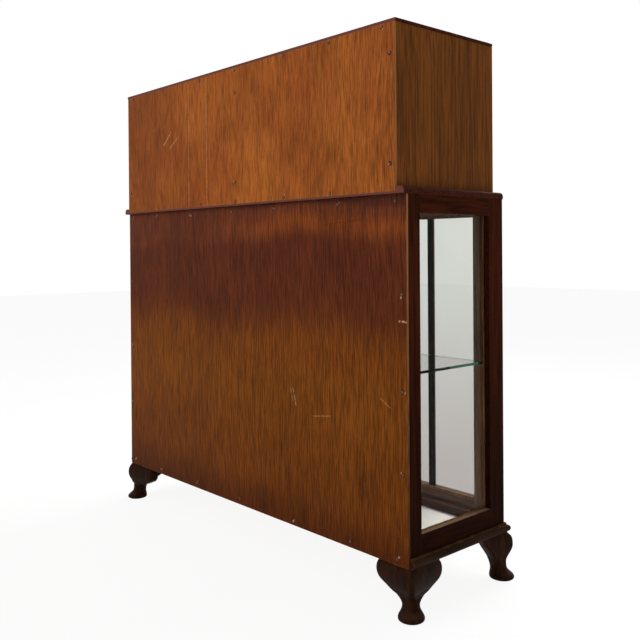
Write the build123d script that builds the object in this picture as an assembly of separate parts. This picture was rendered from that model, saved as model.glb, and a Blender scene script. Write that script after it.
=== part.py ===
from build123d import *
import math
import os

# Display cabinet: a case of six drawers on a glazed case with two doors, on four cabriole legs.
# Millimetres. +Z is up, the front faces -Y, and the left end, seen from the front, is at -X.
# The origin is on the floor, at the middle of the cabinet's plan.

# Whole cabinet
case_width = 1100.0          # over the end frames of the lower case
case_depth = 315.0           # lower case, from its front to the back edges that take the back
leg_height = 104.5
lower_height = 742.5         # from the legs to the underside of the mid board
mid_thickness = 15.0
upper_height = 333.5         # from the mid board to the top surface
panel_thickness = 5.0        # plywood backs
overrun = 10.0               # how far a cutting block passes the piece it cuts

# End frames of the lower case
frame_thickness = 20.0
back_stile_width = 35.0
front_stile_width = 49.0
top_rail_height = 37.0
bottom_rail_height = 61.0

# Glazing, the same in end frames, doors and centre panel
glass_setback = 12.0         # from the outer face of the wood to the glass
glass_thickness = 3.0
glass_clearance = 1.0
rebate_width = 6.0

# Floor and front of the lower case
bottom_thickness = 18.0
lining_thickness = 2.0
base_rail_height = 29.0
back_rail_height = 40.0
back_rail_depth = 18.0
stop_depth = 22.0
stop_lap = 8.0               # how far a stop covers the edge of a door
stop_gap = 0.3

# Doors and centre panel
bay_count = 3
door_gap = 1.5
door_thickness = 20.0
door_stile_width = 45.0
door_top_rail_height = 36.0
door_bottom_rail_height = 34.0
bar_width = 19.0

# Door hinges
hinge_height = 50.0
hinge_inset = 80.0           # from the door's end to the hinge
leaf_width = 15.0
leaf_thickness = 1.2
knuckle_radius = 3.0
knuckle_gap = 0.3
pin_radius = 1.5
pin_clearance = 0.05

# Glass shelf and its pegs
shelf_level = 379.0          # from the bottom of the case to the middle of the glass
shelf_thickness = 6.0
shelf_front_inset = 35.0
shelf_back_gap = 2.0
shelf_end_gap = 9.0
peg_radius = 3.0
peg_bearing = 7.0            # length of peg under the glass
peg_front_inset = 38.5
peg_back_inset = 16.0
peg_flat_share = 0.6         # height of the flat on a peg, as a share of its radius

# Mid board
mid_overhang = 4.0
mid_corner_radius = 9.0
mid_top_round = 8.0
mid_bottom_round = 2.5
mid_lip_height = 6.0         # part of the back edge that the upper back leaves bare

# Upper case
upper_end_inset = 18.0
upper_front_setback = 9.0
upper_back_step = 12.0       # how far the upper back stands behind the lower back
upper_board_thickness = 18.0
top_thickness = 7.0
top_overhang = 3.0
top_corner_radius = 9.0
top_edge_round = 2.5
top_rail_thickness = 18.0
top_rail_depth = 40.0

# Drawers
drawer_rows = 3
drawer_rail_thickness = 12.0
drawer_rail_depth = 45.0
runner_width = 16.0
drawer_front_thickness = 18.0
drawer_front_gap = 1.5
drawer_depth = 285.0         # from the front face to the end of the sides
drawer_side_thickness = 10.0
drawer_side_gap = 2.0
drawer_side_drop = 12.0      # how far the sides stay below the opening above them
drawer_lift = 0.3            # running clearance under the sides
drawer_bottom_thickness = 4.0
drawer_bottom_rise = 6.0
drawer_back_drop = 8.0

# Knobs
drawer_knob_radius = 11.0
drawer_knob_reach = 22.0
door_knob_radius = 9.0
door_knob_reach = 18.0
door_knob_level = 330.0      # from the bottom of the door
knob_place_share = 0.5       # place of a drawer knob between the middle and the end of the front

# Base moulding
bead_height = 20.0
bead_projection = 11.0
bead_fillet = 4.0            # flat member above the half round

# Legs, measured from the corner that their two outer sides are set out from
leg_end_inset = 16.0
leg_front_inset = 10.0
leg_back_inset = 19.0        # from the back edges of the lower case
leg_square = 52.5            # the square of timber that a leg is cut from

# Screws of the two backs
screw_radius = 3.2
screw_height = 1.4
screw_round = 0.8
screw_slot_width = 1.0
screw_slot_depth = 0.7
screw_edge_inset = 13.0      # from the ends, and from the top and bottom of the cases

# Shoulder of a leg, from the top down: height as a share of leg_height, then as shares of leg_square the place
# of the ridge, the outer edge of an ear's end, the reach of an ear on a back leg and on a front leg, the
# rounding of the ridge and the rounding of an ear's end
shoulder_shares = [
    (1.000, 0.400, 0.229, 1.390, 1.333, 0.095, 0.170),
    (0.920, 0.486, 0.257, 1.525, 1.200, 0.095, 0.170),
    (0.825, 0.571, 0.286, 1.600, 1.010, 0.114, 0.170),
    (0.730, 0.600, 0.295, 1.600, 0.857, 0.133, 0.170),
    (0.630, 0.590, 0.295, 1.505, 0.686, 0.152, 0.170),
    (0.555, 0.552, 0.295, 1.276, 0.562, 0.181, 0.170),
    (0.488, 0.505, 0.305, 0.952, 0.457, 0.210, 0.170),
    (0.430, 0.467, 0.324, 0.610, 0.390, 0.248, 0.180),
    (0.365, 0.429, 0.371, 0.352, 0.324, 0.295, 0.240),
]
back_reach_column, front_reach_column = 3, 4
ear_inner_share = 0.150      # inner face of an ear
ear_inner_round_share = 0.100
# Ankle and pad foot: height as a share of leg_height, then radius and middle as shares of leg_square
foot_shares = [
    (0.285, 0.343, 0.076),
    (0.210, 0.352, 0.095),
    (0.140, 0.420, 0.133),
    (0.080, 0.495, 0.175),
    (0.040, 0.510, 0.187),
    (0.000, 0.450, 0.187),
]
round_corner_share = 0.97    # rounding of the square around a round section
round_flank_share = 0.39     # where the inner quarter of a round section starts
round_flank_radius_share = 0.83
round_back_share = 0.75      # its innermost corner
round_back_radius_share = 0.67

# Knob profile: radius as a share of the head's radius, height as a share of the reach
knob_rose_shares = (0.66, 0.10)
knob_neck_shares = (0.40, 0.34)
knob_brim_shares = (1.00, 0.70)

# Places of the screws on the two backs, as shares of half the width and of the height between rows
upper_screw_row_shares = [-0.96, -0.66, -0.36, 0.0, 0.30, 0.65, 0.97]
upper_screw_column_shares = [0.15, 0.83]
lower_screw_row_shares = [-0.97, -0.66, -0.26, 0.06, 0.42, 0.74, 0.98]
lower_screw_foot_shares = [-0.97, -0.72, -0.38, 0.01, 0.37, 0.70, 0.98]
lower_screw_column_shares = [0.24, 0.47, 0.74]

# Places worked out from the sizes above
half_width = case_width / 2
half_upper = half_width - upper_end_inset
inner_half = half_width - frame_thickness
foot_reach = leg_square * max(radius + middle for _, radius, middle in foot_shares)
front_reach = foot_reach - leg_front_inset
back_reach = max(foot_reach - leg_back_inset, panel_thickness + upper_back_step + screw_height)
front_y = (front_reach - back_reach - case_depth) / 2
back_y = front_y + case_depth
upper_front_y = front_y + upper_front_setback
upper_back_y = back_y + upper_back_step
case_z = leg_height
mid_z = case_z + lower_height
upper_z = mid_z + mid_thickness
top_z = upper_z + upper_height
roof_z = top_z - top_thickness
door_z = case_z + base_rail_height + door_gap
door_back_y = front_y + door_thickness
rebate_depth = frame_thickness - glass_setback
bay_width = 2 * inner_half / bay_count
centre_half = bay_width / 2
shelf_bottom_z = case_z + shelf_level - shelf_thickness / 2
bank_half = upper_board_thickness / 2
bank_outer = half_upper - upper_board_thickness
row_top_z = roof_z - top_rail_thickness
row_height = (row_top_z - upper_z - (drawer_rows - 1) * drawer_rail_thickness) / drawer_rows
row_pitch = row_height + drawer_rail_thickness


def block(x_span, y_span, z_span):
    """A box between the given limits on each axis."""
    middle = [(low + high) / 2 for low, high in (x_span, y_span, z_span)]
    size = [high - low for low, high in (x_span, y_span, z_span)]
    return Pos(*middle) * Box(*size)


def mirrored(shapes):
    """The same pieces on the other side of the cabinet."""
    return [mirror(shape, about=Plane.YZ) for shape in shapes]


def save(node, *shapes):
    """Write one node as a group of its separate solids."""
    solids = [solid for shape in shapes for solid in shape.solids()]
    export_step(Compound(children=solids), f"parts/{node}.step")


def save_pair(node, *shapes):
    """Write a node of the left side and its mirror image on the right side."""
    save(f"{node}_left", *shapes)
    save(f"{node}_right", *mirrored(shapes))


def rounded_outline(corners, radii):
    """A closed outline with rounded corners, always in the same order of edges."""
    arcs = []
    for index, corner in enumerate(corners):
        here = Vector(*corner)
        before = (Vector(*corners[index - 1]) - here).normalized()
        after = (Vector(*corners[(index + 1) % len(corners)]) - here).normalized()
        half_angle = math.radians(before.get_angle(after)) / 2
        inwards = (before + after).normalized()
        setback = radii[index] / math.tan(half_angle)
        crown = radii[index] / math.sin(half_angle) - radii[index]
        arcs.append(ThreePointArc(here + before * setback, here + inwards * crown, here + after * setback))
    lines = [Line(arc @ 1, arcs[(index + 1) % len(arcs)] @ 0) for index, arc in enumerate(arcs)]
    return make_face([edge for pair in zip(arcs, lines) for edge in pair])


def shoulder_section(row, reach_column):
    """A level of the shoulder: an angle with its ridge outwards and an ear along each side."""
    ridge, edge, reach = (leg_square * share for share in (row[1], row[2], row[reach_column]))
    ridge_round, end_round = (leg_square * share for share in row[5:])
    inner, inner_round = leg_square * ear_inner_share, leg_square * ear_inner_round_share
    corners = [(ridge, ridge), (-reach, edge), (-reach, -inner), (-inner, -inner), (-inner, -reach), (edge, -reach)]
    radii = [ridge_round, end_round, inner_round, inner_round, inner_round, end_round]
    return Pos(0, 0, leg_height * row[0]) * rounded_outline(corners, radii)


def foot_section(height, radius_share, middle_share):
    """A round level of the ankle or foot, with as many edges as a level of the shoulder."""
    radius, middle = leg_square * radius_share, leg_square * middle_share
    near, far = middle - radius, middle + radius
    flank = middle - round_flank_share * radius
    back = middle - round_back_share * radius
    corners = [(far, far), (near, far), (near, flank), (back, back), (flank, near), (far, near)]
    corner, turn, nook = (radius * share for share in (round_corner_share, round_flank_radius_share,
                                                       round_back_radius_share))
    return Pos(0, 0, leg_height * height) * rounded_outline(corners, [corner, corner, turn, nook, turn, corner])


def make_leg(reach_column):
    """A cabriole leg with its ears, as one carved piece; outwards is +X and +Y."""
    shoulder = [shoulder_section(row, reach_column) for row in shoulder_shares]
    return loft(shoulder + [foot_section(*row) for row in foot_shares])


def make_legs():
    """Four legs, each turned so that its ridge points out of its corner."""
    end_x = half_width - leg_end_inset
    back = Pos(end_x, back_y - leg_back_inset, 0) * make_leg(back_reach_column)
    turned = mirror(make_leg(front_reach_column), about=Plane.XZ)
    front = Pos(end_x, front_y + leg_front_inset, 0) * turned
    for place, leg in (("back", back), ("front", front)):
        save(f"leg_{place}_right", leg)
        save(f"leg_{place}_left", *mirrored([leg]))


def bead_profile(plane):
    """Section of the base moulding: a half round under a small flat member."""
    round_height = bead_height - bead_fillet
    return plane * make_face([
        Polyline((0, round_height), (0, bead_height), (bead_fillet, bead_height), (bead_fillet, round_height)),
        ThreePointArc((bead_fillet, round_height), (bead_projection, round_height / 2), (bead_fillet, 0)),
        Polyline((bead_fillet, 0), (0, 0), (0, round_height)),
    ])


def make_base_moulding():
    """Bead along the front and both ends, mitred at the front corners."""
    corner, tip = (half_width, front_y), (half_width + bead_projection, front_y - bead_projection)
    foot = extrude(Polygon(corner, tip, (tip[0], back_y), (half_width, back_y), align=None), amount=top_z)
    nose = Polygon((-corner[0], front_y), (-tip[0], tip[1]), tip, corner, align=None)
    front_plane = Plane(origin=(tip[0], front_y, case_z), x_dir=(0, -1, 0), z_dir=(-1, 0, 0))
    end_plane = Plane(origin=(half_width, back_y, case_z), x_dir=(1, 0, 0), z_dir=(0, -1, 0))
    front = extrude(bead_profile(front_plane), amount=2 * tip[0]) & extrude(nose, amount=top_z)
    end = extrude(bead_profile(end_plane), amount=back_y - tip[1]) & foot
    save("base_moulding", front, end, *mirrored([end]))


def hinge_levels():
    """Lowest points of the hinges of a door."""
    door_top = mid_z - door_gap
    return [door_z + hinge_inset, door_top - hinge_inset - hinge_height]


def make_end_frames():
    """Glazed ends of the lower case: stiles, rails, glass and the beads that hold it."""
    outer, inner = -half_width, -inner_half
    wood = (outer, inner)
    y_low, y_high = front_y + front_stile_width, back_y - back_stile_width
    z_low, z_high = case_z + bottom_rail_height, mid_z - top_rail_height
    rebate_y = (y_low - rebate_width, y_high + rebate_width)
    rebate_z = (z_low - rebate_width, z_high + rebate_width)
    rebate = block((inner - rebate_depth, inner + overrun), rebate_y, rebate_z)
    leaf_x, leaf_y = (inner - leaf_thickness, inner), (front_y, front_y + leaf_width)
    pockets = [block(leaf_x, leaf_y, (z, z + hinge_height)) for z in hinge_levels()]
    front_stile = block(wood, (front_y, y_low), (case_z, mid_z)) - rebate - pockets
    back_stile = block(wood, (y_high, back_y), (case_z, mid_z)) - rebate
    bottom_rail = block(wood, (y_low, y_high), (case_z, z_low)) - rebate
    top_rail = block(wood, (y_low, y_high), (z_high, mid_z)) - rebate
    save_pair("end_frame", front_stile, back_stile, bottom_rail, top_rail)

    glass_x = (inner - rebate_depth, inner - rebate_depth + glass_thickness)
    glass_y = (rebate_y[0] + glass_clearance, rebate_y[1] - glass_clearance)
    glass_z = (rebate_z[0] + glass_clearance, rebate_z[1] - glass_clearance)
    save_pair("end_glass", block(glass_x, glass_y, glass_z))

    bead_x = (glass_x[1], inner)
    beads = [
        block(bead_x, (rebate_y[0], y_low), rebate_z),
        block(bead_x, (y_high, rebate_y[1]), rebate_z),
        block(bead_x, (y_low, y_high), (rebate_z[0], z_low)),
        block(bead_x, (y_low, y_high), (z_high, rebate_z[1])),
    ]
    return beads + mirrored(beads)


def glazed_panel(x_span, z_span, pockets=()):
    """Frame, bar, glass and beads of a door or of the centre panel."""
    (x0, x1), (z0, z1) = x_span, z_span
    wood = (front_y, door_back_y)
    inner_x = (x0 + door_stile_width, x1 - door_stile_width)
    inner_z = (z0 + door_bottom_rail_height, z1 - door_top_rail_height)
    glass_y = front_y + glass_setback
    rebate_x = (inner_x[0] - rebate_width, inner_x[1] + rebate_width)
    rebate_z = (inner_z[0] - rebate_width, inner_z[1] + rebate_width)
    rebate = block(rebate_x, (glass_y, door_back_y + overrun), rebate_z)
    left_stile = block((x0, inner_x[0]), wood, z_span) - rebate
    right_stile = block((inner_x[1], x1), wood, z_span) - rebate
    for pocket in pockets:
        left_stile = left_stile - pocket
    bottom_rail = block(inner_x, wood, (z0, inner_z[0])) - rebate
    top_rail = block(inner_x, wood, (inner_z[1], z1)) - rebate

    middle = (x0 + x1) / 2
    bar_height = inner_z[1] - inner_z[0]
    bar = Pos(middle, glass_y, sum(inner_z) / 2) * Cylinder(bar_width / 2, bar_height)
    bar = bar & block(inner_x, (front_y, glass_y), inner_z)

    pane_x = (rebate_x[0] + glass_clearance, rebate_x[1] - glass_clearance)
    pane_z = (rebate_z[0] + glass_clearance, rebate_z[1] - glass_clearance)
    pane = block(pane_x, (glass_y, glass_y + glass_thickness), pane_z)
    bead_y = (glass_y + glass_thickness, door_back_y)
    beads = [
        block((rebate_x[0], inner_x[0]), bead_y, rebate_z),
        block((inner_x[1], rebate_x[1]), bead_y, rebate_z),
        block(inner_x, bead_y, (rebate_z[0], inner_z[0])),
        block(inner_x, bead_y, (inner_z[1], rebate_z[1])),
    ]
    return [left_stile, right_stile, bottom_rail, top_rail, bar], pane, beads


def make_centre_panel():
    """Fixed glazed panel between the doors."""
    wood, pane, beads = glazed_panel((-centre_half, centre_half), (case_z + base_rail_height, mid_z))
    save("centre_panel_frame", *wood)
    save("centre_panel_glass", pane)
    return beads


def make_doors():
    """Left door, hung on the left end frame, and its mirror image."""
    x_span = (-inner_half + door_gap, -centre_half - door_gap)
    z_span = (door_z, mid_z - door_gap)
    leaf_x = (x_span[0], x_span[0] + leaf_thickness)
    leaf_y = (front_y, front_y + leaf_width)
    pockets = [block(leaf_x, leaf_y, (z, z + hinge_height)) for z in hinge_levels()]
    wood, pane, beads = glazed_panel(x_span, z_span, pockets)
    save_pair("door_frame", *wood)
    save_pair("door_glass", pane)
    save_pair("door_beads", *beads)
    knob = make_knob(door_knob_radius, door_knob_reach)
    knob_x = x_span[1] - door_stile_width / 2
    save_pair("door_knob", Pos(knob_x, front_y, door_z + door_knob_level) * knob)


def make_hinges():
    """Butt hinges: two knuckles on the case leaf, one on the door leaf, and the pin."""
    axis_x = -inner_half + door_gap / 2
    axis_y = front_y - knuckle_radius - knuckle_gap
    share = hinge_height / 3
    case_leaves, door_leaves, pins = [], [], []
    for z in hinge_levels():
        bore = Pos(axis_x, axis_y, z + hinge_height / 2) * Cylinder(pin_radius + pin_clearance, hinge_height)

        def knuckle(z0, z1, leaf_x):
            ring = Pos(axis_x, axis_y, (z0 + z1) / 2) * Cylinder(knuckle_radius, z1 - z0)
            return (ring + block(leaf_x, (axis_y, front_y), (z0, z1))) - bore

        case_x = (-inner_half - leaf_thickness, -inner_half)
        case_leaf = block(case_x, (front_y, front_y + leaf_width), (z, z + hinge_height))
        case_leaf += knuckle(z, z + share, case_x)
        case_leaf += knuckle(z + 2 * share, z + hinge_height, case_x)
        door_x = (-inner_half + door_gap, -inner_half + door_gap + leaf_thickness)
        door_leaf = block(door_x, (front_y, front_y + leaf_width), (z, z + hinge_height))
        door_leaf += knuckle(z + share + knuckle_gap, z + 2 * share - knuckle_gap, door_x)
        case_leaves.append(case_leaf)
        door_leaves.append(door_leaf)
        pins.append(Pos(axis_x, axis_y, z + hinge_height / 2) * Cylinder(pin_radius, hinge_height))
    save_pair("door_hinge_leaves", *door_leaves)
    save("case_hinge_leaves", *case_leaves, *mirrored(case_leaves))
    save("hinge_pins", *pins, *mirrored(pins))


def make_lower_boards():
    """Floor, rails, stops and back of the lower case, and the mid board above it."""
    inside = (-inner_half, inner_half)
    floor_z = case_z + bottom_thickness
    stop_y = (door_back_y + stop_gap, door_back_y + stop_gap + stop_depth)
    save("bottom_board", block(inside, (door_back_y, back_y), (case_z, floor_z)))
    save("floor_lining", block(inside, (stop_y[1], back_y), (floor_z, floor_z + lining_thickness)))
    save("front_base_rail", block(inside, (front_y, door_back_y), (case_z, case_z + base_rail_height)))
    save("door_stops",
         block(inside, stop_y, (floor_z, door_z + stop_lap)),
         block(inside, stop_y, (mid_z - door_gap - stop_lap, mid_z)))
    save("back_top_rail", block(inside, (back_y - back_rail_depth, back_y), (mid_z - back_rail_height, mid_z)))
    save("lower_back", block((-half_width, half_width), (back_y, back_y + panel_thickness), (case_z, mid_z)))

    reach = half_width + mid_overhang
    lip_y = upper_back_y + panel_thickness
    board = block((-reach, reach), (front_y - mid_overhang, lip_y), (mid_z, upper_z))
    front_corners = board.edges().filter_by(Axis.Z).group_by(Axis.Y)[0]
    board = fillet(front_corners, mid_corner_radius)
    shown_top = board.faces().sort_by(Axis.Z)[-1].edges().sort_by(Axis.Y)[:-1]
    board = fillet(shown_top, mid_top_round)
    shown_bottom = board.faces().sort_by(Axis.Z)[0].edges()
    board = fillet(shown_bottom, mid_bottom_round)
    rebate_y, rebate_z = (upper_back_y, lip_y + overrun), (mid_z + mid_lip_height, upper_z + overrun)
    save("mid_board", board - block((-half_upper, half_upper), rebate_y, rebate_z))


def make_shelf():
    """Glass shelf on pegs in the stiles, in the back and in the centre panel."""
    end_x = inner_half - shelf_end_gap
    shelf_y = (front_y + shelf_front_inset, back_y - shelf_back_gap)
    shelf_top_z = shelf_bottom_z + shelf_thickness
    save("glass_shelf", block((-end_x, end_x), shelf_y, (shelf_bottom_z, shelf_top_z)))

    peg_z = shelf_bottom_z - peg_flat_share * peg_radius
    below = block((-case_width, case_width), (-case_width, case_width), (0, shelf_bottom_z))

    def peg(face, direction, length):
        return extrude(Plane(origin=(*face, peg_z), z_dir=direction) * Circle(peg_radius), amount=length) & below

    stile_x = centre_half - door_stile_width / 2
    end_length = shelf_end_gap + peg_bearing
    front_length = shelf_y[0] - door_back_y + peg_bearing
    pegs = [
        peg((-inner_half, front_y + peg_front_inset), (1, 0, 0), end_length),
        peg((-inner_half, back_y - peg_back_inset), (1, 0, 0), end_length),
        peg((-stile_x, door_back_y), (0, 1, 0), front_length),
        peg((-stile_x, back_y), (0, -1, 0), shelf_back_gap + peg_bearing),
    ]
    save("shelf_pegs", *pegs, *mirrored(pegs))


def make_upper_case():
    """Ends, upright, rails, runners, top and back of the upper case."""
    depth = (upper_front_y, upper_back_y)
    end = block((-half_upper, -bank_outer), depth, (upper_z, roof_z))
    save_pair("upper_end", end)
    save("upper_upright", block((-bank_half, bank_half), depth, (upper_z, roof_z)))

    bank = (-bank_outer, -bank_half)
    rail_z = (row_top_z, roof_z)
    top_rails = [
        block(bank, (upper_front_y, upper_front_y + top_rail_depth), rail_z),
        block(bank, (upper_back_y - top_rail_depth, upper_back_y), rail_z),
    ]
    save("upper_top_rails", *top_rails, *mirrored(top_rails))

    rails, runners = [], []
    for row in range(1, drawer_rows):
        level = (upper_z + row * row_pitch - drawer_rail_thickness, upper_z + row * row_pitch)
        rail_back = upper_front_y + drawer_rail_depth
        rails.append(block(bank, (upper_front_y, rail_back), level))
        runners.append(block((bank[0], bank[0] + runner_width), (rail_back, upper_back_y), level))
        runners.append(block((bank[1] - runner_width, bank[1]), (rail_back, upper_back_y), level))
    save("drawer_rails", *rails, *mirrored(rails))
    save("drawer_runners", *runners, *mirrored(runners))

    panel_y = (upper_back_y, upper_back_y + panel_thickness)
    save("upper_back", block((-half_upper, half_upper), panel_y, (mid_z + mid_lip_height, roof_z)))

    reach = half_upper + top_overhang
    top_y = (upper_front_y - top_overhang, upper_back_y + panel_thickness)
    top = block((-reach, reach), top_y, (roof_z, top_z))
    top = fillet(top.edges().filter_by(Axis.Z).group_by(Axis.Y)[0], top_corner_radius)
    shown = top.faces().sort_by(Axis.Z)[-1].edges() + top.faces().sort_by(Axis.Z)[0].edges().sort_by(Axis.Y)[:-1]
    save("upper_top", fillet(shown, top_edge_round))


def make_knob(radius, reach):
    """A turned knob whose seat is at the origin and which stands out to the front."""
    def ring(shares):
        return (shares[0] * radius, shares[1] * reach)

    rose, neck, brim = ring(knob_rose_shares), ring(knob_neck_shares), ring(knob_brim_shares)
    profile = make_face([
        Polyline((0, reach), (0, 0), (rose[0], 0), rose, (neck[0], rose[1]), neck),
        Line(neck, brim),
        TangentArc((0, reach), brim, tangent=(1, 0)),
    ])
    turned = revolve(Plane.XZ * profile, Axis.Z)
    return Rot(90, 0, 0) * turned


def make_drawers():
    """Six drawers in two banks: front, box of sides, back and bottom, and two knobs."""
    knob = make_knob(drawer_knob_radius, drawer_knob_reach)
    front_back_y = upper_front_y + drawer_front_thickness
    for row in range(drawer_rows):
        z0 = upper_z + row * row_pitch
        x0, x1 = -bank_outer, -bank_half
        front_x = (x0 + drawer_front_gap, x1 - drawer_front_gap)
        front_z = (z0 + drawer_front_gap, z0 + row_height - drawer_front_gap)
        front = block(front_x, (upper_front_y, front_back_y), front_z)

        box_y = (front_back_y, upper_front_y + drawer_depth)
        box_z = (z0 + drawer_lift, z0 + row_height - drawer_side_drop)
        side_low = (x0 + drawer_side_gap, x0 + drawer_side_gap + drawer_side_thickness)
        side_high = (x1 - drawer_side_gap - drawer_side_thickness, x1 - drawer_side_gap)
        inside = (side_low[1], side_high[0])
        bottom_z = (box_z[0] + drawer_bottom_rise, box_z[0] + drawer_bottom_rise + drawer_bottom_thickness)
        back_span = (box_y[1] - drawer_side_thickness, box_y[1])
        box = [
            block(side_low, box_y, box_z),
            block(side_high, box_y, box_z),
            block(inside, box_y, bottom_z),
            block(inside, back_span, (bottom_z[1], box_z[1] - drawer_back_drop)),
        ]
        middle, reach = sum(front_x) / 2, (front_x[1] - front_x[0]) / 2 * knob_place_share
        knob_z = sum(front_z) / 2
        knobs = [Pos(middle + side * reach, upper_front_y, knob_z) * knob for side in (-1, 1)]
        save_pair(f"drawer_{row + 1}_front", front)
        save_pair(f"drawer_{row + 1}_box", *box)
        save_pair(f"drawer_{row + 1}_knobs", *knobs)


def make_screws():
    """Slotted heads of the screws that hold the two backs."""
    head = Pos(0, 0, screw_height / 2) * Cylinder(screw_radius, screw_height)
    head = fillet(head.edges().sort_by(Axis.Z)[-1], screw_round)
    slot_size = (2 * screw_radius + overrun, screw_slot_width, 2 * screw_slot_depth)
    head = Rot(-90, 0, 0) * (head - Pos(0, 0, screw_height) * Box(*slot_size))

    def places(half, z_low, z_high, top_shares, foot_shares, column_shares, column_xs):
        rows = [(share * half, z_high) for share in top_shares]
        rows += [(share * half, z_low) for share in foot_shares]
        rows += [(x * half, z_low + share * (z_high - z_low)) for share in column_shares for x in column_xs]
        return rows

    upper = places(half_upper - screw_edge_inset, mid_z + mid_lip_height + screw_radius + mid_bottom_round,
                   top_z - screw_edge_inset, upper_screw_row_shares, upper_screw_row_shares[1:-1],
                   upper_screw_column_shares, (-1, 0, 1))
    lower = places(half_width - screw_edge_inset, case_z + screw_edge_inset, mid_z - screw_edge_inset,
                   lower_screw_row_shares, lower_screw_foot_shares, lower_screw_column_shares, (-1, 1))
    upper_face, lower_face = upper_back_y + panel_thickness, back_y + panel_thickness
    places_3d = [(x, upper_face, z) for x, z in upper] + [(x, lower_face, z) for x, z in lower]
    save("back_screws", *[Pos(*place) * head for place in places_3d])


os.makedirs("parts", exist_ok=True)
make_legs()
make_base_moulding()
save("glazing_beads", *make_end_frames(), *make_centre_panel())
make_lower_boards()
make_doors()
make_hinges()
make_shelf()
make_upper_case()
make_drawers()
make_screws()
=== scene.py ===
# %% [markdown]
# A collection cabinet, seen from behind: a case of drawers stands on a glazed case with cabriole legs.
# The imported solids are the fixed frame. Each wooden board, pane and screw gets a finish
# made of nodes, and small worn details are added as meshes that ride on the same bodies.
# The dark rings round the screws among these meshes are painted shade of the dents.

# %% Load the imported cabinet
import math
import random

import bmesh
import bpy
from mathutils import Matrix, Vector


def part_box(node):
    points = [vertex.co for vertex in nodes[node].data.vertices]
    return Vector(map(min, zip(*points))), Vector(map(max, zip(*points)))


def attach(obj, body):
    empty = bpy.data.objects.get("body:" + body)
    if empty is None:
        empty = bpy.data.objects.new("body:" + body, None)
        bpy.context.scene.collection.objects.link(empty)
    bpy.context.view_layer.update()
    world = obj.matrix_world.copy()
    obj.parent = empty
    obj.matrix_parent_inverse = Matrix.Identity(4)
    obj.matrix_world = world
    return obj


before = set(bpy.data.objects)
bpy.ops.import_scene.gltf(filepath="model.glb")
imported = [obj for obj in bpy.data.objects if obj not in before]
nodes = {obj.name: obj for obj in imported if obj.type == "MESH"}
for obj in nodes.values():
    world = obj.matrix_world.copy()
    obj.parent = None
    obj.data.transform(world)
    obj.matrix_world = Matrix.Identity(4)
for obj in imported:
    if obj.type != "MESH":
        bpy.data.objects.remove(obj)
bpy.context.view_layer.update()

# %% [markdown]
# Every finish below is a tree of nodes. Short helpers keep the cells readable: one adds a node and sets
# or joins its inputs, one writes a colour the way a colour picker shows it, from 0 to 255, and the rest
# are the few sums that the finishes use again and again.


# %% Helpers for node trees
def put(tree, kind, inputs=None, **options):
    """Adds a node, sets its options, and sets or joins its inputs."""
    node = tree.nodes.new(kind)
    for option, value in options.items():
        setattr(node, option, value)
    for socket, value in (inputs or {}).items():
        if isinstance(value, bpy.types.NodeSocket):
            tree.links.new(value, node.inputs[socket])
        else:
            node.inputs[socket].default_value = value
    return node


def use_group(tree, group, inputs):
    """Places a node group with its own values; gives its outputs."""
    return put(tree, "ShaderNodeGroup", inputs, node_tree=group).outputs


def part_of(tree, vector, axis):
    """One of the three parts of a vector."""
    return put(tree, "ShaderNodeSeparateXYZ", {0: vector}).outputs[axis]


def tone(red, green, blue):
    """A colour as a picker shows it, turned into Blender's linear numbers."""
    linear = []
    for part in (red, green, blue):
        share = part / 255
        linear.append(share / 12.92 if share <= 0.04045 else ((share + 0.055) / 1.055) ** 2.4)
    return (*linear, 1.0)


def maths(tree, operation, first, second=0.0, clamp=False):
    return put(tree, "ShaderNodeMath", {0: first, 1: second}, operation=operation, use_clamp=clamp).outputs[0]


def near(tree, value, middle, reach):
    """1 where a value is within reach of the middle, else 0."""
    return put(tree, "ShaderNodeMath", {0: value, 1: middle, 2: reach}, operation="COMPARE").outputs[0]


def ramp(tree, value, low, high, to_low=0.0, to_high=1.0):
    """A soft step of a value from low to high."""
    inputs = {"Value": value, "From Min": low, "From Max": high, "To Min": to_low, "To Max": to_high}
    return put(tree, "ShaderNodeMapRange", inputs, interpolation_type="SMOOTHSTEP").outputs[0]


def blend(tree, share, first, second):
    """Mixes two colours."""
    return put(tree, "ShaderNodeMix", {0: share, 6: first, 7: second}, data_type="RGBA").outputs[2]


def stretch(tree, vector, factors):
    return put(tree, "ShaderNodeVectorMath", {0: vector, 1: factors}, operation="MULTIPLY").outputs[0]


def noise(tree, vector, scale, detail=3.0, roughness=0.55):
    inputs = {"Vector": vector, "Scale": scale, "Detail": detail, "Roughness": roughness}
    return put(tree, "ShaderNodeTexNoise", inputs).outputs["Fac"]


print("helpers ready")

# %% [markdown]
# Wood grain is needed by every board, so it is one node group. Grain is noise that is pulled out along
# the board: wide bands of tone, fine streaks, and short dark pores. The group expects the grain to run
# along Z, and each board turns its own coordinates to suit.


# %% Grain, shared by every board
def new_group(name, inputs, outputs):
    """A shader node group with the named sockets; gives its tree and its two ends."""
    group = bpy.data.node_groups.new(name, "ShaderNodeTree")
    for label, kind, value in inputs:
        socket = group.interface.new_socket(name=label, in_out="INPUT", socket_type=kind)
        socket.default_value = value
    for label, kind in outputs:
        group.interface.new_socket(name=label, in_out="OUTPUT", socket_type=kind)
    return group, group.nodes.new("NodeGroupInput"), group.nodes.new("NodeGroupOutput")


NUMBER, POINT = "NodeSocketFloat", "NodeSocketVector"
ORIGIN = (0.0, 0.0, 0.0)


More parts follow.
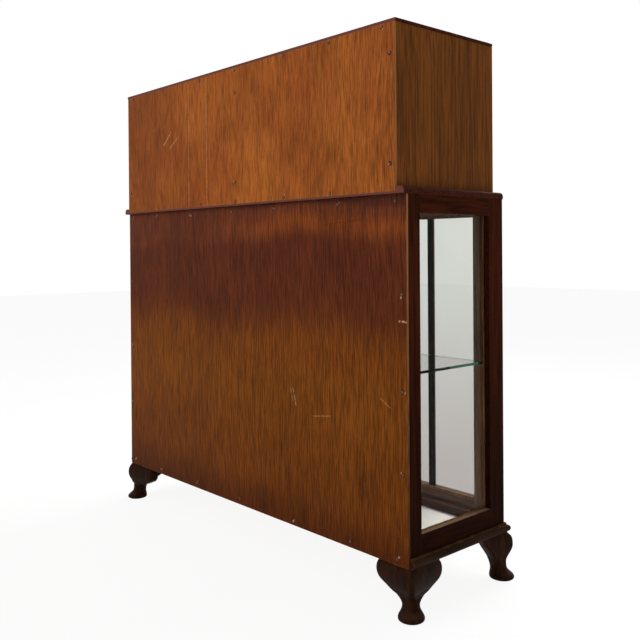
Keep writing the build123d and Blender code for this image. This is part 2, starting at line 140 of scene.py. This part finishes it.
def make_grain():
    group, start, end = new_group(
        "grain",
        [("Vector", POINT, ORIGIN), ("Lines", NUMBER, 150.0)],
        [("Bands", NUMBER), ("Streaks", NUMBER), ("Pores", NUMBER)])
    point, lines = start.outputs["Vector"], start.outputs["Lines"]
    sway = noise(group, stretch(group, point, (1, 1, 0.6)), 5.0, 1.0)
    shift = put(group, "ShaderNodeCombineXYZ", {"X": maths(group, "MULTIPLY", sway, 0.03)}).outputs[0]
    swayed = put(group, "ShaderNodeVectorMath", {0: point, 1: shift}, operation="ADD").outputs[0]
    bands = noise(group, stretch(group, swayed, (1, 1, 0.10)), maths(group, "MULTIPLY", lines, 0.13), 3.0)
    streaks = noise(group, stretch(group, swayed, (1, 1, 0.045)), lines, 5.0, 0.68)
    fine = noise(group, stretch(group, swayed, (1, 1, 0.05)), maths(group, "MULTIPLY", lines, 4.5), 1.0)
    pores = ramp(group, fine, 0.60, 0.74)
    group.links.new(bands, end.inputs["Bands"])
    group.links.new(streaks, end.inputs["Streaks"])
    group.links.new(pores, end.inputs["Pores"])
    return group


grain_group = make_grain()
print("grain group with", len(grain_group.nodes), "nodes")

# %% [markdown]
# Handling rubs the stain off the corners of old furniture. A Bevel node compares the true direction of
# the surface with a rounded one, so it finds the corners of any mesh; noise then breaks the worn line up.


# %% Edge wear, shared
def make_edge_wear():
    group, start, end = new_group(
        "edge_wear", [("Vector", POINT, ORIGIN), ("Radius", NUMBER, 0.002), ("Patches", NUMBER, 40.0)],
        [("Mask", NUMBER)])
    rounded = put(group, "ShaderNodeBevel", {"Radius": start.outputs["Radius"]}, samples=4)
    face = group.nodes.new("ShaderNodeNewGeometry")
    same = put(group, "ShaderNodeVectorMath", {0: rounded.outputs[0], 1: face.outputs["Normal"]},
               operation="DOT_PRODUCT")
    corner = ramp(group, same.outputs["Value"], 0.995, 0.90)
    patches = ramp(group, noise(group, start.outputs["Vector"], start.outputs["Patches"], 4.0), 0.40, 0.62)
    group.links.new(maths(group, "MULTIPLY", corner, patches), end.inputs["Mask"])
    return group


edge_wear_group = make_edge_wear()
print("edge wear group with", len(edge_wear_group.nodes), "nodes")

# %% [markdown]
# A single scratch is a thin line between two points. The group gives 1 on the line and 0 away from it,
# so a panel can carry as many scratches as the real one shows, each at its own place.


# %% Scratches, shared
def make_scratch():
    group, start, end = new_group(
        "scratch",
        [("Vector", POINT, ORIGIN), ("From", POINT, ORIGIN), ("To", POINT, ORIGIN), ("Width", NUMBER, 0.001)],
        [("Mask", NUMBER)])

    def vector(operation, first, second):
        return put(group, "ShaderNodeVectorMath", {0: first, 1: second}, operation=operation)

    flat = (1.0, 0.0, 1.0)
    place = stretch(group, start.outputs["Vector"], flat)
    reach = vector("SUBTRACT", place, start.outputs["From"]).outputs[0]
    line = vector("SUBTRACT", start.outputs["To"], start.outputs["From"]).outputs[0]
    along = vector("DOT_PRODUCT", reach, line).outputs["Value"]
    length = vector("DOT_PRODUCT", line, line).outputs["Value"]
    share = maths(group, "DIVIDE", along, length, clamp=True)
    nearest = put(group, "ShaderNodeVectorMath", {0: line, "Scale": share}, operation="SCALE").outputs[0]
    gap = put(group, "ShaderNodeVectorMath", {0: vector("SUBTRACT", reach, nearest).outputs[0]},
              operation="LENGTH").outputs["Value"]
    broken = ramp(group, noise(group, place, 160.0, 2.0), 0.36, 0.52)
    inside = put(group, "ShaderNodeMapRange", {"Value": gap, "From Min": start.outputs["Width"], "From Max": 0.0})
    group.links.new(maths(group, "MULTIPLY", inside.outputs[0], broken), end.inputs["Mask"])
    return group


scratch_group = make_scratch()
print("scratch group with", len(scratch_group.nodes), "nodes")

# %% [markdown]
# A board's finish is the same recipe each time: coordinates turned along the board, a tint that the grain
# and broad patches make lighter or darker, worn corners, and a varnish whose gloss and relief follow the
# grain. The varnish is old and dull, so very little white is reflected and the wood keeps its colour.


# %% The recipe of a wooden finish
def turned(tree, point, along):
    """Coordinates whose Z runs along the given axis of the cabinet."""
    parts = put(tree, "ShaderNodeSeparateXYZ", {0: point}).outputs
    order = {"X": ("Y", "Z", "X"), "Y": ("X", "Z", "Y"), "Z": ("X", "Y", "Z")}[along]
    return put(tree, "ShaderNodeCombineXYZ", {axis: parts[source] for axis, source in zip("XYZ", order)}).outputs[0]


def start_material(name):
    material = bpy.data.materials.new(name)
    material.use_nodes = True
    tree = material.node_tree
    shader = tree.nodes["Principled BSDF"]
    point = tree.nodes.new("ShaderNodeTexCoord").outputs["Object"]
    return material, tree, shader, point


def facing(tree, axis):
    """How far a face looks along an axis of its own piece, so that it stays true when a door swings."""
    return part_of(tree, tree.nodes.new("ShaderNodeTexCoord").outputs["Normal"], axis)


GRAIN_MIDDLE, GRAIN_SPREAD = 0.62, 0.32
BAND_SHARE, STREAK_SHARE = 0.15, 0.85
PORE_STAIN = tone(30, 12, 6)
GLASS_LAP = 0.005
FADED_SHARE = 0.36


def grain_colour(tree, run, lines, tint, contrast=1.0, pore_depth=0.2):
    """A tint varied by grain; also gives the grain for gloss and relief."""
    grain = use_group(tree, grain_group, {"Vector": run, "Lines": lines})
    mixed = maths(tree, "ADD", maths(tree, "MULTIPLY", grain["Bands"], BAND_SHARE),
                  maths(tree, "MULTIPLY", grain["Streaks"], STREAK_SHARE))
    spread = GRAIN_SPREAD * contrast
    light = ramp(tree, mixed, 0.34, 0.66, GRAIN_MIDDLE - spread, GRAIN_MIDDLE + spread)
    light = maths(tree, "DIVIDE", light, GRAIN_MIDDLE)
    patches = ramp(tree, noise(tree, stretch(tree, run, (1, 1, 0.6)), 9.0, 3.0), 0.32, 0.68, 0.92, 1.08)
    light = maths(tree, "MULTIPLY", light, patches)
    tint = tint if isinstance(tint, bpy.types.NodeSocket) else tint[:3]
    colour = put(tree, "ShaderNodeVectorMath", {0: tint, "Scale": light}, operation="SCALE").outputs[0]
    pores = maths(tree, "MULTIPLY", grain["Pores"], pore_depth)
    return blend(tree, pores, colour, PORE_STAIN), grain


def varnish(tree, shader, colour, grain, gloss=(0.42, 0.60), relief=0.0004, shine=0.02):
    """Joins a wooden colour to the shader, with gloss and relief from its grain."""
    tree.links.new(colour, shader.inputs["Base Color"])
    roughness = ramp(tree, grain["Streaks"], 0.3, 0.7, *gloss)
    tree.links.new(roughness, shader.inputs["Roughness"])
    height = maths(tree, "SUBTRACT", grain["Streaks"], grain["Pores"])
    bump = put(tree, "ShaderNodeBump", {"Height": height, "Strength": 0.35, "Distance": relief})
    tree.links.new(bump.outputs[0], shader.inputs["Normal"])
    shader.inputs["Specular IOR Level"].default_value = shine


def rail_mask_of_end(tree, point):
    """1 on the rails of an end frame, which lie between its stiles."""
    low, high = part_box("end_glass_left")
    return near(tree, part_of(tree, point, "Y"), (low.y + high.y) / 2, (high.y - low.y) / 2 - GLASS_LAP)


def rail_mask_of_panel(glass):
    """A mask of the rails of a door or of the centre panel, found from its pane."""
    low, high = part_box(glass)

    def mask(tree, point):
        parts = put(tree, "ShaderNodeSeparateXYZ", {0: point}).outputs
        across = near(tree, parts["X"], (low.x + high.x) / 2, (high.x - low.x) / 2 - GLASS_LAP)
        upright = near(tree, parts["Z"], (low.z + high.z) / 2, (high.z - low.z) / 2 - GLASS_LAP)
        return maths(tree, "MULTIPLY", across, maths(tree, "SUBTRACT", 1.0, upright))
    return mask


def board_finish(name, along, tint, lines=150.0, rails=None, rail_along="X", wear=tone(120, 78, 40),
                 wear_share=0.5, gloss=(0.42, 0.60), shine=0.02, contrast=1.0, fade=None, top_light=None,
                 inside=None, lip_highlight=None):
    """A varnished board. rails is a mask of the pieces that lie along the other way, fade a pair of
    heights between which the wood turns from a darker tone to its own, top_light a colour painted on
    faces that look up as a painted highlight, inside a tint for faces that look back into the case, and
    lip_highlight the colour painted along the middle of a rounded back edge as a painted highlight."""
    material, tree, shader, point = start_material(name)
    run = turned(tree, point, along)
    if rails:
        other = turned(tree, point, rail_along)
        run = put(tree, "ShaderNodeMix", {0: rails(tree, point), 4: run, 5: other}, data_type="VECTOR").outputs[1]
    if fade:
        darker = (*(FADED_SHARE * part for part in tint[:3]), 1.0)
        tint = blend(tree, ramp(tree, part_of(tree, point, "Z"), *fade), darker, tint)
    if inside:
        tint = blend(tree, ramp(tree, facing(tree, "Y"), -0.6, 0.1), tint, inside)
    colour, grain = grain_colour(tree, run, lines, tint, contrast)
    worn = use_group(tree, edge_wear_group, {"Vector": point, "Radius": 0.0022})["Mask"]
    colour = blend(tree, maths(tree, "MULTIPLY", worn, wear_share), colour, wear)
    # A lighter band along the middle of a rounded back edge: a painted highlight on the lip.
    if lip_highlight:
        highlight_band = ramp(tree, facing(tree, "Y"), 0.70, 0.97)
        colour = blend(tree, maths(tree, "MULTIPLY", highlight_band, 0.7), colour, lip_highlight)
    # Faces that look up get a lighter colour: a painted highlight for the light that falls from above.
    if top_light:
        level = ramp(tree, facing(tree, "Z"), 0.5, 0.95)
        colour = blend(tree, maths(tree, "MULTIPLY", level, 0.8), colour, top_light)
    varnish(tree, shader, colour, grain, gloss, shine=shine)
    return material


def finish(material, *names):
    """Gives one material to the named nodes."""
    for name in names:
        nodes[name].data.materials.clear()
        nodes[name].data.materials.append(material)


print("recipe ready")

# %% [markdown]
# The two backs are thin plywood with a veneer whose grain runs up. They are the largest surfaces in view.
# The upper one is an even orange brown. The lower one is redder and darker in its top third, where it
# stood in shade, and yellower below. Their sawn edges show bare plies, so faces that look sideways get
# pale layers instead of veneer.


# %% Plywood backs
PALE_SCRATCH = tone(196, 160, 118)


def plywood_back(name, tint_at, scratches, lines=460.0):
    material, tree, shader, point = start_material(name)
    colour, grain = grain_colour(tree, turned(tree, point, "Z"), lines, tint_at(tree, point), 1.0, 0.22)
    outside = ramp(tree, facing(tree, "Y"), 0.3, 0.8)
    for start, stop, width, strength, shade in scratches:
        place = {"From": (start[0], 0.0, start[1]), "To": (stop[0], 0.0, stop[1])}
        mask = use_group(tree, scratch_group, {"Vector": point, "Width": width, **place})["Mask"]
        mask = maths(tree, "MULTIPLY", mask, outside)
        colour = blend(tree, maths(tree, "MULTIPLY", mask, strength), colour, shade)
    worn = use_group(tree, edge_wear_group, {"Vector": point, "Radius": 0.0030, "Patches": 55.0})["Mask"]
    colour = blend(tree, maths(tree, "MULTIPLY", worn, 0.45), colour, tone(150, 100, 55))
    sawn = ramp(tree, maths(tree, "ABSOLUTE", facing(tree, "X")), 0.6, 0.9)
    layers = put(tree, "ShaderNodeTexWave", {"Vector": point, "Scale": 180.0, "Distortion": 1.5},
                 bands_direction="Y").outputs["Fac"]
    plies = blend(tree, layers, tone(112, 72, 38), tone(168, 118, 74))
    # The sawn plies turn darker towards the bottom.
    ply_height = maths(tree, "ADD", part_of(tree, point, "Z"), maths(tree, "MULTIPLY", noise(tree, point, 24.0), 0.5))
    plies = blend(tree, ramp(tree, ply_height, 0.35, 1.05), tone(70, 36, 17), plies)
    colour = blend(tree, sawn, colour, plies)
    varnish(tree, shader, colour, grain, gloss=(0.45, 0.62), shine=0.03)
    return material


def upper_tint(tree, point):
    patches = ramp(tree, noise(tree, stretch(tree, point, (1, 1, 0.7)), 6.0, 2.0), 0.36, 0.64)
    redder = ramp(tree, noise(tree, stretch(tree, point, (1, 1, 0.9)), 9.0, 3.0), 0.50, 0.70)
    colour = blend(tree, patches, tone(130, 68, 26), tone(144, 79, 30))
    colour = blend(tree, maths(tree, "MULTIPLY", redder, 0.4), colour, tone(124, 56, 24))
    far = ramp(tree, part_of(tree, point, "X"), 0.10, 0.45)
    return blend(tree, maths(tree, "MULTIPLY", far, 0.6), colour, tone(112, 58, 24))


# Tones of the lower back, from its foot up, each with its share of the height.
BACK_LEVELS = [(0.00, tone(76, 34, 7)), (0.16, tone(98, 50, 10)), (0.42, tone(107, 57, 12)),
               (0.54, tone(103, 53, 12)), (0.69, tone(80, 36, 16)), (0.86, tone(79, 35, 17)),
               (0.92, tone(108, 52, 20)), (0.965, tone(92, 44, 23)), (0.99, tone(70, 32, 22))]


def lower_tint(tree, point):
    low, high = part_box("lower_back")
    drift = maths(tree, "MULTIPLY", noise(tree, stretch(tree, point, (1, 1, 0.4)), 3.5, 1.0), 0.08)
    height = maths(tree, "ADD", part_of(tree, point, "Z"), drift)
    share = put(tree, "ShaderNodeMapRange",
                {"Value": height, "From Min": low.z + 0.04, "From Max": high.z + 0.04}).outputs[0]
    levels = put(tree, "ShaderNodeValToRGB", {0: share})
    levels.color_ramp.interpolation = "EASE"
    stops = levels.color_ramp.elements
    for stop, (place, colour) in zip(list(stops), BACK_LEVELS[:2]):
        stop.position, stop.color = place, colour
    for place, colour in BACK_LEVELS[2:]:
        stops.new(place).color = colour
    far = ramp(tree, part_of(tree, point, "X"), -0.20, 0.20)
    shaded = maths(tree, "MULTIPLY", far, ramp(tree, share, 0.84, 0.90))
    return blend(tree, shaded, levels.outputs[0], tone(84, 40, 22))


DARK_LINE, FAINT = tone(52, 24, 10), tone(170, 112, 70)
# Each scratch or line: from (x, z), to (x, z), half width, strength, colour.
upper_scratches = [
    ((0.334, 1.031), (0.296, 1.063), 0.0022, 0.9, PALE_SCRATCH),
    ((0.304, 1.018), (0.262, 1.045), 0.0020, 0.7, PALE_SCRATCH),
    ((0.398, 1.072), (0.376, 1.082), 0.0020, 0.4, FAINT),
    ((0.338, 1.078), (0.318, 1.090), 0.0018, 0.4, FAINT),
    ((0.209, 1.180), (0.209, 0.860), 0.0040, 0.45, FAINT),
    ((0.214, 1.180), (0.214, 0.860), 0.0030, 0.55, DARK_LINE),
    ((0.124, 1.180), (0.124, 0.860), 0.0040, 0.55, FAINT),
    ((0.118, 1.180), (0.118, 0.860), 0.0030, 0.40, DARK_LINE),
]
lower_scratches = [
    ((-0.201, 0.421), (-0.211, 0.383), 0.0022, 0.55, PALE_SCRATCH),
    ((-0.193, 0.418), (-0.200, 0.392), 0.0018, 0.45, PALE_SCRATCH),
    ((-0.266, 0.366), (-0.326, 0.375), 0.0020, 0.35, PALE_SCRATCH),
    ((-0.476, 0.434), (-0.503, 0.418), 0.0018, 0.35, PALE_SCRATCH),
    ((-0.300, 0.792), (-0.440, 0.800), 0.0030, 0.6, tone(84, 32, 12)),
    ((0.391, 0.284), (0.392, 0.221), 0.0022, 0.6, tone(36, 18, 8)),
    ((-0.530, 0.594), (-0.549, 0.594), 0.0030, 0.7, tone(214, 176, 130)),
]
upper_back_finish = plywood_back("upper_back_veneer", upper_tint, upper_scratches)
lower_back_finish = plywood_back("lower_back_veneer", lower_tint, lower_scratches)
finish(upper_back_finish, "upper_back")
finish(lower_back_finish, "lower_back")
print("backs finished")

# %% [markdown]
# The solid timber comes in a few tones: a golden brown end on the upper case, a very dark red brown on
# the glazed frames, mouldings with a painted highlight along their nose, and almost black legs.


# %% Solid timber
def both(name):
    return [f"{name}_left", f"{name}_right"]


upper_end_wood = board_finish("upper_end_wood", "Z", tone(106, 60, 23), lines=140.0, contrast=0.8)
finish(upper_end_wood, *both("upper_end"))

# The lighter colour on the frame's upward faces is a painted highlight.
end_frame_wood = board_finish("end_frame_wood", "Z", tone(55, 22, 8), rails=rail_mask_of_end, rail_along="Y",
                              wear=tone(76, 44, 26), shine=0.01, fade=(0.10, 0.70), top_light=tone(132, 102, 78))
finish(end_frame_wood, *both("end_frame"))

door_tint = tone(138, 102, 70)
for panel, glass in (("door_frame_left", "door_glass_left"), ("door_frame_right", "door_glass_right"),
                     ("centre_panel_frame", "centre_panel_glass")):
    wood = board_finish(f"{panel}_wood", "Z", tone(72, 35, 17), rails=rail_mask_of_panel(glass),
                        gloss=(0.26, 0.44), shine=0.12, inside=door_tint)
    finish(wood, panel)
bead_wood = board_finish("glazing_bead_wood", "Z", door_tint)
finish(bead_wood, "glazing_beads", *both("door_beads"))

moulding_tint = tone(46, 28, 15)
# The pale colour on the worn corners of these boards is partly rubbed wear and partly a painted highlight; the band
# on the back lip is a painted highlight.
board_wood = board_finish("moulded_board_wood", "X", tone(58, 25, 15), wear=tone(150, 98, 80), shine=0.015,
                          lip_highlight=tone(112, 66, 56))
finish(board_wood, "mid_board", "upper_top")


def moulding_end_mask(tree, point):
    """1 on the lengths of base moulding along the ends, up to the mitre."""
    low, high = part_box("front_base_rail")
    end_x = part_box("end_frame_right")[1].x
    parts = put(tree, "ShaderNodeSeparateXYZ", {0: point}).outputs
    past_end = maths(tree, "SUBTRACT", maths(tree, "ABSOLUTE", parts["X"]), end_x)
    past_front = maths(tree, "SUBTRACT", low.y, parts["Y"])
    return maths(tree, "GREATER_THAN", past_end, past_front)


bead_finish = board_finish("base_moulding_wood", "X", moulding_tint, rails=moulding_end_mask, rail_along="Y",
                           wear=tone(130, 90, 56))
finish(bead_finish, "base_moulding")

# The lighter colour on the leg's upward faces is a painted highlight.
# The pale colour on the leg's worn edges is partly rubbed wear and partly a painted highlight along the knee's
# ridges.
leg_wood = board_finish("leg_wood", "Z", tone(38, 20, 9), lines=120.0, wear=tone(98, 70, 44), wear_share=0.35,
                        gloss=(0.30, 0.46), shine=0.02, top_light=tone(58, 40, 28))
finish(leg_wood, "leg_back_left", "leg_back_right", "leg_front_left", "leg_front_right")
print("timber finished")

# %% [markdown]
# The front is not seen in the photograph, so its drawers and rails follow the tone of the doors. Boxes,
# runners and boards that stay inside are bare planed timber.

# %% Drawers and inner boards
front_wood = board_finish("drawer_front_wood", "X", tone(92, 46, 20), gloss=(0.30, 0.46), shine=0.12)
bare_tint = tone(176, 138, 92)
bare_wood = board_finish("bare_board_wood", "X", bare_tint, wear_share=0.15, gloss=(0.6, 0.75), contrast=0.4)
bare_side_wood = board_finish("bare_side_wood", "Y", bare_tint, wear_share=0.15, gloss=(0.6, 0.75), contrast=0.4)
knob_wood = board_finish("knob_wood", "Y", tone(70, 34, 18), lines=220.0, gloss=(0.22, 0.36), shine=0.3)
case_tint = tone(78, 44, 24)
case_wood = board_finish("case_board_wood", "X", case_tint)
upright_wood = board_finish("upright_wood", "Z", case_tint)
for row in (1, 2, 3):
    finish(front_wood, *both(f"drawer_{row}_front"))
    finish(bare_side_wood, *both(f"drawer_{row}_box"))
    finish(knob_wood, *both(f"drawer_{row}_knobs"))
finish(knob_wood, *both("door_knob"))
finish(case_wood, "drawer_rails", "upper_top_rails", "front_base_rail", "door_stops", "back_top_rail")
finish(upright_wood, "upper_upright")
finish(bare_side_wood, "drawer_runners")
finish(bare_wood, "bottom_board")
print("drawers and boards finished")

# %% [markdown]
# Old float glass is nearly clear, with a faint grey green and a little haze, and low down it is painted greyer as
# painted shade of the floor seen through it. The edge of a sheet is green, because one looks along it. The index is
# set low, which keeps white reflections from greying the wood behind the panes. Shadow rays pass, so that light
# reaches the inside.


# %% Glass
def glass_finish(name, clear, edge_axis):
    """Clear glass whose edges, which look along the sheet, are green."""
    material, tree, shader, point = start_material(name)
    edge = ramp(tree, maths(tree, "ABSOLUTE", facing(tree, edge_axis)), 0.6, 0.3)
    haze = ramp(tree, noise(tree, point, 9.0, 5.0), 0.40, 0.75)
    # Greyer towards the bottom: painted shade of the floor seen through the glass.
    low_shade_tint = blend(tree, ramp(tree, part_of(tree, point, "Z"), 0.20, 0.75), tone(213, 210, 208), clear)
    sheet = blend(tree, maths(tree, "MULTIPLY", haze, 0.20), low_shade_tint, tone(216, 216, 212))
    tree.links.new(blend(tree, edge, sheet, tone(70, 120, 98)), shader.inputs["Base Color"])
    roughness = ramp(tree, haze, 0.0, 1.0, 0.0, 0.03)
    tree.links.new(roughness, shader.inputs["Roughness"])
    shader.inputs["Transmission Weight"].default_value = 1.0
    shader.inputs["IOR"].default_value = 1.12
    out = tree.nodes["Material Output"]
    rays = tree.nodes.new("ShaderNodeLightPath")
    passed = put(tree, "ShaderNodeBsdfTransparent", {"Color": (0.96, 0.97, 0.96, 1.0)})
    mixed = put(tree, "ShaderNodeMixShader",
                {0: rays.outputs["Is Shadow Ray"], 1: shader.outputs[0], 2: passed.outputs[0]})
    tree.links.new(mixed.outputs[0], out.inputs["Surface"])
    return material


clear_glass = tone(233, 235, 231)
finish(glass_finish("end_glass_sheet", clear_glass, "X"), *both("end_glass"))
finish(glass_finish("front_glass_sheet", clear_glass, "Y"), *both("door_glass"), "centre_panel_glass")
finish(glass_finish("shelf_glass_sheet", clear_glass, "Z"), "glass_shelf")
print("glass finished")

# %% [markdown]
# The floor of the glazed case is lined with a white sheet, a little grey and marked with use. Hinges are
# dull brass, and screws and pegs are old steel with rust in patches.


# %% Lining and metals
def lining_finish():
    material, tree, shader, point = start_material("white_lining_sheet")
    marks = ramp(tree, noise(tree, point, 18.0, 5.0), 0.45, 0.72)
    tree.links.new(blend(tree, marks, tone(244, 245, 241), tone(230, 230, 223)), shader.inputs["Base Color"])
    tree.links.new(ramp(tree, marks, 0.0, 1.0, 0.42, 0.62), shader.inputs["Roughness"])
    return material


def metal_finish(name, clean, stained, scale, metallic):
    material, tree, shader, point = start_material(name)
    stain = ramp(tree, noise(tree, point, scale, 6.0, 0.65), 0.42, 0.62)
    tree.links.new(blend(tree, stain, clean, stained), shader.inputs["Base Color"])
    tree.links.new(ramp(tree, stain, 0.0, 1.0, 0.32, 0.7), shader.inputs["Roughness"])
    tree.links.new(ramp(tree, stain, 0.0, 1.0, metallic, 0.15), shader.inputs["Metallic"])
    bump = put(tree, "ShaderNodeBump", {"Height": stain, "Strength": 0.3, "Distance": 0.0003})
    tree.links.new(bump.outputs[0], shader.inputs["Normal"])
    return material


finish(lining_finish(), "floor_lining")
brass = metal_finish("hinge_brass", tone(176, 140, 78), tone(104, 78, 40), 90.0, 0.95)
finish(brass, "case_hinge_leaves", "hinge_pins", *both("door_hinge_leaves"))
finish(metal_finish("peg_steel", tone(150, 148, 142), tone(92, 80, 68), 240.0, 0.9), "shelf_pegs")
screw_steel = metal_finish("screw_steel", tone(98, 60, 40), tone(50, 24, 13), 420.0, 0.3)
finish(screw_steel, "back_screws")
print("lining and metals finished")

# %% [markdown]
# Each screw was driven hard enough to crush the veneer. A dark ring round each head is painted shade of that
# dent, and beside many of them a flake of veneer has broken away and left pale wood. Rings and flakes are thin
# uneven discs, one mesh for each kind. The places are read from the screw heads, so they always agree.


# %% Rings and flakes round the screws
SCREW_REACH = 0.012


def screw_places():
    """Middle of each screw head, found by gathering the vertices that lie close together."""
    heads = []
    for vertex in nodes["back_screws"].data.vertices:
        for head in heads:
            if (head[0] - vertex.co).length < SCREW_REACH:
                head.append(vertex.co.copy())
                break
        else:
            heads.append([vertex.co.copy()])
    lows = [[min(part) for part in zip(*head)] for head in heads]
    highs = [[max(part) for part in zip(*head)] for head in heads]
    return [((low[0] + high[0]) / 2, low[1], (low[2] + high[2]) / 2) for low, high in zip(lows, highs)]


def add_flake(work, place, radius, height, stretch_up, dice, corners=11):
    """A thin uneven disc that lies on a back, with its rim turned down into the wood."""
    outline = [radius * dice.uniform(0.72, 1.22) for _ in range(corners)]
    rims = []
    for share, level in ((1.0, -0.0002), (0.86, height)):
        rim = []
        for corner, reach in enumerate(outline):
            angle = 2 * math.pi * corner / corners
            across, up = share * reach * math.cos(angle), share * reach * math.sin(angle) * stretch_up
            rim.append(work.verts.new((place[0] + across, place[1] + level, place[2] + up)))
        rims.append(rim)
    outer, inner = rims
    work.faces.new(outer)
    work.faces.new(inner)
    for corner in range(corners):
        after = (corner + 1) % corners
        work.faces.new((outer[corner], outer[after], inner[after], inner[corner]))


def flake_mesh(name, pieces, material):
    """One mesh of many flakes, riding on the case."""
    work = bmesh.new()
    for place, radius, height, stretch_up, dice in pieces:
        add_flake(work, place, radius, height, stretch_up, dice)
    bmesh.ops.recalc_face_normals(work, faces=work.faces)
    mesh = bpy.data.meshes.new(name)
    work.to_mesh(mesh)
    work.free()
    mesh.materials.append(material)
    piece = bpy.data.objects.new(name, mesh)
    bpy.context.scene.collection.objects.link(piece)
    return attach(piece, "case")


def mottled(name, dark, light, scale):
    material, tree, shader, point = start_material(name)
    spots = ramp(tree, noise(tree, point, scale, 4.0), 0.38, 0.62)
    tree.links.new(blend(tree, spots, dark, light), shader.inputs["Base Color"])
    tree.links.new(ramp(tree, spots, 0.0, 1.0, 0.55, 0.8), shader.inputs["Roughness"])
    shader.inputs["Specular IOR Level"].default_value = 0.1
    return material


dice = random.Random(7)
dent_shades, flakes = [], []
for place in screw_places():
    dent_shades.append((place, dice.uniform(0.0046, 0.0058), 0.00015, 1.0, dice))
    if dice.random() < 0.5:
        angle, reach = dice.uniform(0.0, 2 * math.pi), dice.uniform(0.0050, 0.0070)
        beside = (place[0] + reach * math.cos(angle), place[1], place[2] + reach * math.sin(angle))
        flakes.append((beside, dice.uniform(0.0014, 0.0026), 0.0003, dice.uniform(0.7, 1.6), dice))
# The dark rings are painted shade of the dent round each screw head.
flake_mesh("screw_dent_shades", dent_shades, mottled("painted_dent_shade", tone(36, 14, 7), tone(74, 34, 16), 300.0))
flake_mesh("screw_flakes", flakes, mottled("bare_flake", tone(140, 92, 68), tone(180, 132, 102), 260.0))
print("dent_shades", len(dent_shades), "flakes", len(flakes))

# %% [markdown]
# The camera stands behind the cabinet's left end, low, where the straight edges of the photograph meet.
# The picture was cropped off centre, so the lens is shifted a little.

# %% Camera
camera = bpy.data.objects.new("camera", bpy.data.cameras.new("camera"))
bpy.context.scene.collection.objects.link(camera)
bpy.context.scene.camera = camera
camera.location = (-1.5992, 1.3488, 0.7361)
camera.rotation_euler = [math.radians(angle) for angle in (89.626, 0.4134, -131.6409)]
camera.data.sensor_width = 36.0
camera.data.lens = 44.885
camera.data.shift_x = 0.0128
camera.data.shift_y = -0.1004
print("camera at", tuple(round(v, 3) for v in camera.location))

# %% [markdown]
# The floor is a pale plane that keeps a faint shadow. The world is white to the camera and in
# reflections, and an even soft light on the object. One large lamp on the side of the backs makes them
# a little brighter than the end. Another, high in front, reaches the floor of the case through the doors.


# %% Floor, world and lamps
def seen_directly(tree):
    """1 for rays from the camera, or by way of a reflection or of glass."""
    rays = tree.nodes.new("ShaderNodeLightPath").outputs
    seen = maths(tree, "MAXIMUM", rays["Is Camera Ray"], rays["Is Glossy Ray"])
    return maths(tree, "MAXIMUM", seen, rays["Is Transmission Ray"])


def studio_floor():
    half = 12.0
    mesh = bpy.data.meshes.new("studio_floor")
    mesh.from_pydata([(-half, -half, 0), (half, -half, 0), (half, half, 0), (-half, half, 0)], [], [(0, 1, 2, 3)])
    plane = bpy.data.objects.new("studio_floor", mesh)
    bpy.context.scene.collection.objects.link(plane)
    material, tree, shader, point = start_material("studio_floor_paint")
    grey = ramp(tree, noise(tree, point, 2.0, 2.0), 0.3, 0.7)
    tree.links.new(blend(tree, grey, tone(240, 240, 238), tone(246, 246, 244)), shader.inputs["Base Color"])
    shader.inputs["Roughness"].default_value = 0.9
    glow = put(tree, "ShaderNodeEmission", {"Color": (1, 1, 1, 1), "Strength": 1.0})
    share = maths(tree, "MULTIPLY", seen_directly(tree), 0.9)
    mixed = put(tree, "ShaderNodeMixShader", {0: share, 1: shader.outputs[0], 2: glow.outputs[0]})
    tree.links.new(mixed.outputs[0], tree.nodes["Material Output"].inputs["Surface"])
    mesh.materials.append(material)


def studio_world():
    world = bpy.data.worlds.new("studio")
    world.use_nodes = True
    bpy.context.scene.world = world
    tree = world.node_tree
    tree.nodes.clear()
    strength = ramp(tree, seen_directly(tree), 0.0, 1.0, 0.55, 1.0)
    light = put(tree, "ShaderNodeBackground", {"Color": (1, 1, 1, 1), "Strength": strength})
    put(tree, "ShaderNodeOutputWorld", {"Surface": light.outputs[0]})


def soft_lamp(name, place, target, size, watts):
    lamp = bpy.data.lights.new(name, "AREA")
    lamp.size = size
    lamp.energy = watts
    holder = bpy.data.objects.new(name, lamp)
    bpy.context.scene.collection.objects.link(holder)
    holder.location = place
    holder.rotation_euler = (Vector(target) - Vector(place)).to_track_quat("-Z", "Y").to_euler()


studio_floor()
studio_world()
soft_lamp("back_lamp", (0.6, 3.2, 2.2), (0.0, 0.2, 0.6), 2.5, 55.0)
soft_lamp("front_lamp", (0.2, -1.7, 2.9), (-0.2, 0.0, 0.1), 1.6, 92.0)
bpy.context.scene.view_settings.view_transform = "Standard"
print("studio ready")
